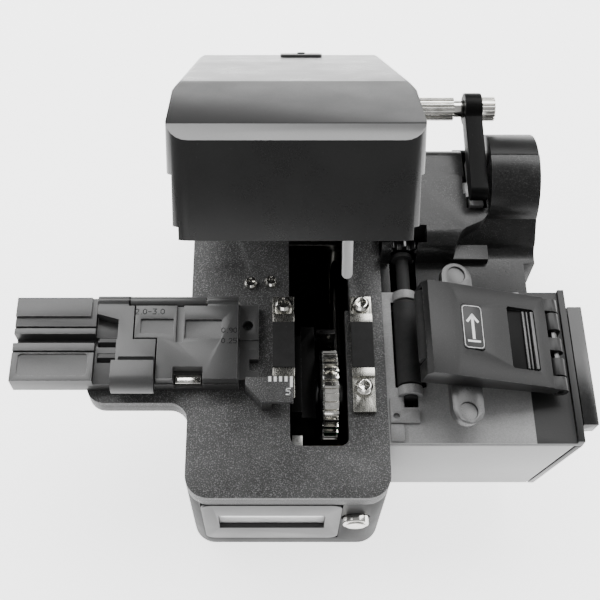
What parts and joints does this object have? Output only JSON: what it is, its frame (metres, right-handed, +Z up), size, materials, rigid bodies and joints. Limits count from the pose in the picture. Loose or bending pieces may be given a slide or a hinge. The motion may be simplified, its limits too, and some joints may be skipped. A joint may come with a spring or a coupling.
{
  "type": "optical fibre cleaver",
  "caption": "Bench cleaver for optical fibre: hinged clamp lid, sliding blade wheel, flap holder tray, and a roller collector for scraps driven by the lid.",
  "frame": {"origin": "centre of the main body's rubber base pad, on the surface it stands on", "axes": "+X to the right toward the scrap collector, +Y to the back toward the lid hinge, +Z up"},
  "size_m": [0.1254, 0.1027, 0.1062],
  "materials": {
    "shell_black": "fine matte moulding",
    "plate_texture": "speckled textured powder coat",
    "holder_plastic": "matte moulding",
    "lid_black": "satin black",
    "cover_grey": "satin dark grey",
    "collector_black": "smooth satin",
    "gloss_black": "glossy black",
    "rubber_black": "matte rubber",
    "steel_bright": "bright plated",
    "steel_brushed": "brushed",
    "anvil_metal": "ground, warm grey",
    "brass": "turned brass",
    "panel_grey": "grey membrane",
    "window_grey": "display window",
    "board_green": "solder mask",
    "label_white": "printed label",
    "gear_white": "natural acetal"
  },
  "bodies": {
    "base": {"base_shell": "shell_black", "bottom_cover": "shell_black", "rubber_base": "rubber_black", "bottom_screws": "steel_bright", "top_plate": "plate_texture", "plate_screws": "steel_brushed", "display_panel": "panel_grey", "display_window": "window_grey", "counter_board": "board_green", "battery": "steel_bright", "left_anvil": "anvil_metal", "right_anvil": "anvil_metal", "left_anvil_pad": "rubber_black", "right_anvil_pad": "rubber_black", "anvil_screws": "steel_bright", "scale_plate": "plate_texture", "guide_rails": "steel_bright", "rail_blocks": "steel_brushed", "holder_tray": "holder_plastic", "holder_hinge_pin": "steel_brushed", "latch_bar": "steel_bright", "hinge_bracket": "shell_black", "hinge_bushes": "brass", "bin_shell": "collector_black", "bin_top": "plate_texture", "corner_bracket": "plate_texture", "cover_hinge_pin": "steel_brushed", "drive_housing": "collector_black", "drum_rear": "gloss_black", "drum_cap": "steel_bright"},
    "carriage": {"blade_carriage": "gloss_black", "carriage_bushes": "brass", "blade_axle": "steel_bright"},
    "blade_wheel": {"blade_disc": "steel_brushed", "ratchet_wheel": "steel_bright"},
    "pawl": {"index_pawl": "brass"},
    "button": {"front_button": "steel_brushed"},
    "main_flap": {"holder_main_flap": "holder_plastic"},
    "small_flap": {"holder_small_flap": "holder_plastic"},
    "lid": {"lid_shell": "lid_black", "lid_inner_cover": "lid_black", "lid_screws": "steel_bright", "hinge_shaft": "steel_bright", "drive_arm": "gloss_black", "shaft_cap": "steel_bright", "striker_rod": "gear_white"},
    "left_clamp_unit": {"left_clamp": "steel_brushed", "clamp_pads_left": "rubber_black"},
    "right_clamp_unit": {"right_clamp": "steel_brushed", "clamp_pads_right": "rubber_black"},
    "drawer": {"scrap_drawer": "collector_black"},
    "feed": {"feed_roller": "rubber_black"},
    "cover": {"roller_cover": "cover_grey", "lift_bar": "cover_grey", "cover_label": "label_white"},
    "pinch": {"pinch_roller": "rubber_black"},
    "rack": {"drive_rack": "gear_white"},
    "drive": {"drive_shaft": "gear_white"},
    "brass_gear": {"roller_gear": "brass"}
  },
  "joints": [
    {"name": "lid_hinge", "type": "hinge", "parent": "base", "child": "lid", "pos_m": [0, 0.0425, 0.049], "axis": [-1, 0, 0], "range_deg": [-44.5, 0]},
    {"name": "carriage_slide", "type": "slide", "parent": "base", "child": "carriage", "axis": [0, 1, 0], "range_m": [0, 0.024]},
    {"name": "wheel_spin", "type": "hinge", "parent": "carriage", "child": "blade_wheel", "pos_m": [0.008, -0.0213, 0.0279], "axis": [1, 0, 0], "continuous": true},
    {"name": "pawl_swing", "type": "hinge", "parent": "carriage", "child": "pawl", "pos_m": [0.008, -0.0083, 0.0299], "axis": [-1, 0, 0], "range_deg": [0, 12], "stiffness_Nm_per_rad": 0.002},
    {"name": "button_press", "type": "slide", "parent": "base", "child": "button", "axis": [0, 1, 0], "range_m": [0, 0.001], "stiffness_N_per_m": 600},
    {"name": "main_flap_hinge", "type": "hinge", "parent": "base", "child": "main_flap", "pos_m": [-0.0143, -0.0044, 0.0403], "axis": [-1, 0, 0], "range_deg": [0, 105]},
    {"name": "small_flap_hinge", "type": "hinge", "parent": "base", "child": "small_flap", "pos_m": [-0.0383, -0.0044, 0.0403], "axis": [-1, 0, 0], "range_deg": [0, 105]},
    {"name": "left_clamp_slide", "type": "slide", "parent": "lid", "child": "left_clamp_unit", "axis": [0, 0.7009, 0.7133], "range_m": [0, 0.0015], "stiffness_N_per_m": 300},
    {"name": "right_clamp_slide", "type": "slide", "parent": "lid", "child": "right_clamp_unit", "axis": [0, 0.7009, 0.7133], "range_m": [0, 0.0015], "stiffness_N_per_m": 300},
    {"name": "drawer_slide", "type": "slide", "parent": "base", "child": "drawer", "axis": [1, 0, 0], "range_m": [0, 0.026]},
    {"name": "feed_spin", "type": "hinge", "parent": "base", "child": "feed", "pos_m": [0.0266, 0, 0.0358], "axis": [0, 1, 0], "continuous": true},
    {"name": "cover_hinge", "type": "hinge", "parent": "base", "child": "cover", "pos_m": [0.058, 0, 0.0394], "axis": [0, 1, 0], "range_deg": [-12, 80]},
    {"name": "pinch_spin", "type": "hinge", "parent": "cover", "child": "pinch", "pos_m": [0.02927, 0, 0.0466], "axis": [0, 1, 0], "continuous": true},
    {"name": "rack_slide", "type": "slide", "parent": "base", "child": "rack", "axis": [0, 0, 1], "range_m": [-0.01563, 0]},
    {"name": "drive_spin", "type": "hinge", "parent": "base", "child": "drive", "pos_m": [0.03762, 0, 0.02641], "axis": [0, -1, 0], "range_deg": [-223, 0]},
    {"name": "brass_gear_spin", "type": "hinge", "parent": "base", "child": "brass_gear", "pos_m": [0.0266, 0, 0.0358], "axis": [0, -1, 0], "range_deg": [0, 579]}
  ],
  "couplings": [
    {"joint": "rack_slide", "follows": "lid_hinge", "m_per_rad": 0.02},
    {"joint": "drive_spin", "follows": "lid_hinge", "ratio": 5},
    {"joint": "brass_gear_spin", "follows": "lid_hinge", "ratio": -13}
  ]
}
